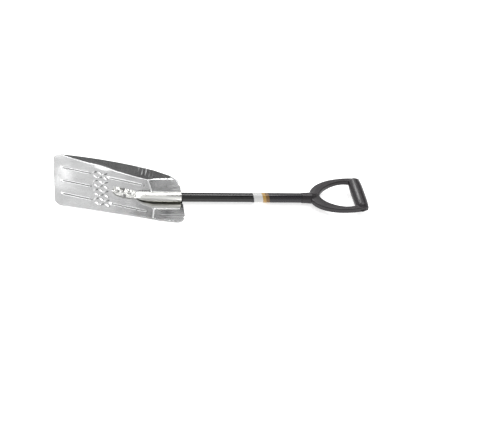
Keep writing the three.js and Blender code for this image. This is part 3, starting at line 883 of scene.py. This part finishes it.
def bar_part():
    """The hand bar, an oval barrel drawn in at its ends: pairs of a radius and a share of the half length."""
    pairs = [(0, 1), (7.5, 1), (10.5, 0.985), (13, 0.93), (14.6, 0.84), (15.6, 0.6), (BAR_R, 0.3)]
    profile = [(radius, -share * BAR_HALF) for radius, share in pairs]
    profile += [(BAR_R, 0)] + [(radius, share * BAR_HALF) for radius, share in reversed(pairs)]
    lying = Matrix.Rotation(-math.pi / 2, 4, "X")
    oval = Matrix.Diagonal((BAR_OVAL, 1, 1, 1))
    return placed(turned(profile), Matrix.Translation((BAR_X, 0, 0)) @ oval @ lying)


def ferrule_part():
    foot = -CHANNEL_UNDERSIDE
    profile = [
        (0, FERRULE_FROM), (FERRULE_R - 1, FERRULE_FROM), (FERRULE_R - 0.3, FERRULE_FROM + 1.5),
        (FERRULE_R, FERRULE_TO - 14), (foot, FERRULE_TO), (FERRULE_R - 2, FERRULE_TO + 12),
        (FERRULE_R - 7, FERRULE_TO + 18), (0, FERRULE_TO + 18),
    ]
    return placed(turned(filleted(profile, 1.0)), ALONG_X)


def rod_part(radius, start, end):
    return turned([(0, start), (radius, start), (radius, end), (0, end)])


def make_grip():
    """Ferrule, arms and bar fused into one moulding, then bored for the shaft, the plugs and the screw."""
    to_shaft = SHAFT_FRAME.inverted() @ GRIP_FRAME
    parts = joined(ferrule_part(), placed(arms_part(), to_shaft), placed(bar_part(), to_shaft))
    grip = mesh_object("grip_moulding", *parts, SHAFT_FRAME)
    fuse = grip.modifiers.new("fuse", "REMESH")
    fuse.mode = "VOXEL"
    fuse.voxel_size = VOXEL * MM
    relax = grip.modifiers.new("relax", "SMOOTH")
    relax.factor = 0.5
    relax.iterations = 6
    applied(grip)

    bore = placed(rod_part(SHAFT_R + 0.1, FERRULE_FROM - 5, SHAFT_TO + GAP), ALONG_X)
    across = Matrix.Translation((BAR_X, 0, 0)) @ Matrix.Rotation(-math.pi / 2, 4, "X")
    hollow = placed(rod_part(BAR_HOLLOW_R, -80, 80), to_shaft @ across)
    sunk = [
        (0, -18), (SINK_R + 0.1, -18), (SINK_R + 0.1, -FERRULE_R + 0.25),
        (SCREW_SHANK + 0.1, -FERRULE_R + 1.85), (SCREW_SHANK + 0.1, -12), (0, -12),
    ]
    screw_hole = placed(turned(sunk, steps=32), Matrix.Translation((SCREW_X, 0, 0)))
    for hole in (bore, hollow, screw_hole):
        carved(grip, mesh_object("hole_cutter", *hole, SHAFT_FRAME))
    grip.data.polygons.foreach_set("use_smooth", [True] * len(grip.data.polygons))
    grip.data.set_sharp_from_angle(angle=math.radians(50))
    finished(grip, "d_grip", PLASTIC)


def make_grip_plugs():
    stem = BAR_HOLLOW_R - 0.1
    profile = [
        (0, -PLUG_DEEP), (stem - 1, -PLUG_DEEP), (stem, -PLUG_DEEP + 1.5), (stem, -0.4), (stem - 0.7, 0.25),
        (3.2, 0.3), (2.6, -0.5), (0, -0.5),
    ]
    for side, sign in (("near", -1), ("far", 1)):
        points, faces = turned(filleted(profile, 0.3), steps=56)
        end = Matrix.Translation((BAR_X, sign * BAR_HALF, 0))
        outward = Matrix.Rotation(-sign * math.pi / 2, 4, "X")
        plug = mesh_object(f"grip_plug_{side}_cap", points, faces, GRIP_FRAME @ end @ outward)
        finished(plug, f"grip_plug_{side}", PLASTIC)


make_blade()
make_socket()
make_shaft()
make_label()
make_tongue_rivets()
make_channel_rivets()
make_grip_screw()
make_grip()
make_grip_plugs()


# ---- Camera ----

CAMERA_AZIMUTH = -0.255584    # angles in radians, distances in metres
CAMERA_ELEVATION = 0.695460
CAMERA_ROLL = 0.169177
CAMERA_DISTANCE = 2.75478
CAMERA_TARGET = Vector((0.054195, -0.102693, 0.0476))
CAMERA_LENS = 80


def make_camera():
    data = bpy.data.cameras.new("camera")
    data.lens = CAMERA_LENS
    data.sensor_width = 36
    flat = math.cos(CAMERA_ELEVATION)
    sideways, away = math.sin(CAMERA_AZIMUTH) * flat, -math.cos(CAMERA_AZIMUTH) * flat
    back = Vector((sideways, away, math.sin(CAMERA_ELEVATION)))
    camera = bpy.data.objects.new("camera", data)
    bpy.context.scene.collection.objects.link(camera)
    camera.rotation_mode = "QUATERNION"
    upright = (-back).to_track_quat("-Z", "Y")
    camera.rotation_quaternion = upright @ Matrix.Rotation(CAMERA_ROLL, 3, "Z").to_quaternion()
    camera.location = CAMERA_TARGET + back * CAMERA_DISTANCE
    bpy.context.scene.camera = camera


make_camera()


# ---- Studio ----

STUDIO_CENTRE = Vector((-0.2, 0, 0.04))
STUDIO_REACH = 6.0
ROOM_LIGHT = 0.76
FLOOR_REACH = 12
FLOOR_GAP = 0.0005
SOFTBOXES = [    # name, direction, width and height in degrees, radiance
    ("overhead_light", (0.19, 0.22, 0.955), 14, 20, 7.5),
    ("bar_light", (-0.13, 0.74, 0.66), 20, 16, 13.0),
    ("front_patch_light", (0.25, 0.805, 0.54), 3, 14, 1.5),
    ("fold_light", (0.42, 0.42, 0.80), 9, 12, 3.2),
    ("swelling_light", (0.39, 0.65, 0.65), 7, 6, 2.5),
]
CARDS = [    # name, direction, width and height in degrees, tone
    ("wall_card", (0.37, -0.27, 0.87), 24, 36, 0.08),
    ("ramp_card", (0.155, 0.76, 0.63), 10, 16, 0.03),
    ("rear_card", (0.575, 0.63, 0.52), 20, 30, 0.0),
]


def facing(name, data, direction):
    """An object on the studio's sphere in this direction, facing the shovel, with its width along X."""
    made = bpy.data.objects.new(name, data)
    bpy.context.scene.collection.objects.link(made)
    outward = Vector(direction).normalized()
    sideways = (Vector((1, 0, 0)) - outward * outward.x).normalized()
    turned_to = Matrix((sideways, outward.cross(sideways), outward)).transposed()
    made.rotation_mode = "QUATERNION"
    made.rotation_quaternion = turned_to.to_quaternion()
    made.location = STUDIO_CENTRE + outward * STUDIO_REACH
    made.visible_camera = False
    return made


def softbox(name, direction, wide, tall, radiance):
    """An area light whose size is given in degrees as the shovel sees it."""
    data = bpy.data.lights.new(name, "AREA")
    data.shape = "RECTANGLE"
    data.size = 2 * STUDIO_REACH * math.tan(math.radians(wide / 2))
    data.size_y = 2 * STUDIO_REACH * math.tan(math.radians(tall / 2))
    data.energy = radiance * math.pi * data.size * data.size_y
    return facing(name, data, direction)


def card(name, direction, wide, tall, tone):
    """A grey card that only reflections see, with its size in degrees."""
    mesh = bpy.data.meshes.new(name)
    x, y = (STUDIO_REACH * math.tan(math.radians(size / 2)) for size in (wide, tall))
    mesh.from_pydata([(-x, -y, 0), (x, -y, 0), (x, y, 0), (-x, y, 0)], [], [(0, 1, 2, 3)])
    material = bpy.data.materials.new(name)
    material.use_nodes = True
    nodes = material.node_tree.nodes
    glow = nodes.new("ShaderNodeEmission")
    glow.inputs["Color"].default_value = (tone, tone, tone, 1)
    material.node_tree.links.new(glow.outputs["Emission"], nodes["Material Output"].inputs["Surface"])
    mesh.materials.append(material)
    panel = facing(name, mesh, direction)
    for ray in ("diffuse", "transmission", "volume_scatter", "shadow"):
        setattr(panel, f"visible_{ray}", False)


def make_floor():
    """A pale floor lit from below like a light table, so that shadows on it stay faint."""
    mesh = bpy.data.meshes.new("floor")
    level = cad_box[0].z - FLOOR_GAP
    corners = [(x * FLOOR_REACH, y * FLOOR_REACH, level) for x, y in ((-1, -1), (1, -1), (1, 1), (-1, 1))]
    mesh.from_pydata(corners, [], [(0, 1, 2, 3)])
    shader = Shader("pale_floor", {
        "Roughness": 0.9,
        "Specular IOR Level": 0.0,
        "Emission Color": (1, 1, 1, 1),
        "Emission Strength": 0.6,
    })
    tone = shader.noise(shader.mapped(), 3, detail=2)
    shader.link(shader.ramp(tone, (0.3, 0.9), (0.7, 0.92)), "Base Color")
    mesh.materials.append(shader.material)
    floor = bpy.data.objects.new("floor", mesh)
    bpy.context.scene.collection.objects.link(floor)


def make_studio():
    world = bpy.data.worlds.new("studio")
    world.use_nodes = True
    background = world.node_tree.nodes["Background"]
    background.inputs["Color"].default_value = (1, 1, 1, 1)
    background.inputs["Strength"].default_value = ROOM_LIGHT
    bpy.context.scene.world = world
    for light in SOFTBOXES:
        softbox(*light)
    for panel in CARDS:
        card(*panel)
    make_floor()
    bpy.context.scene.view_settings.view_transform = "Standard"


make_studio()
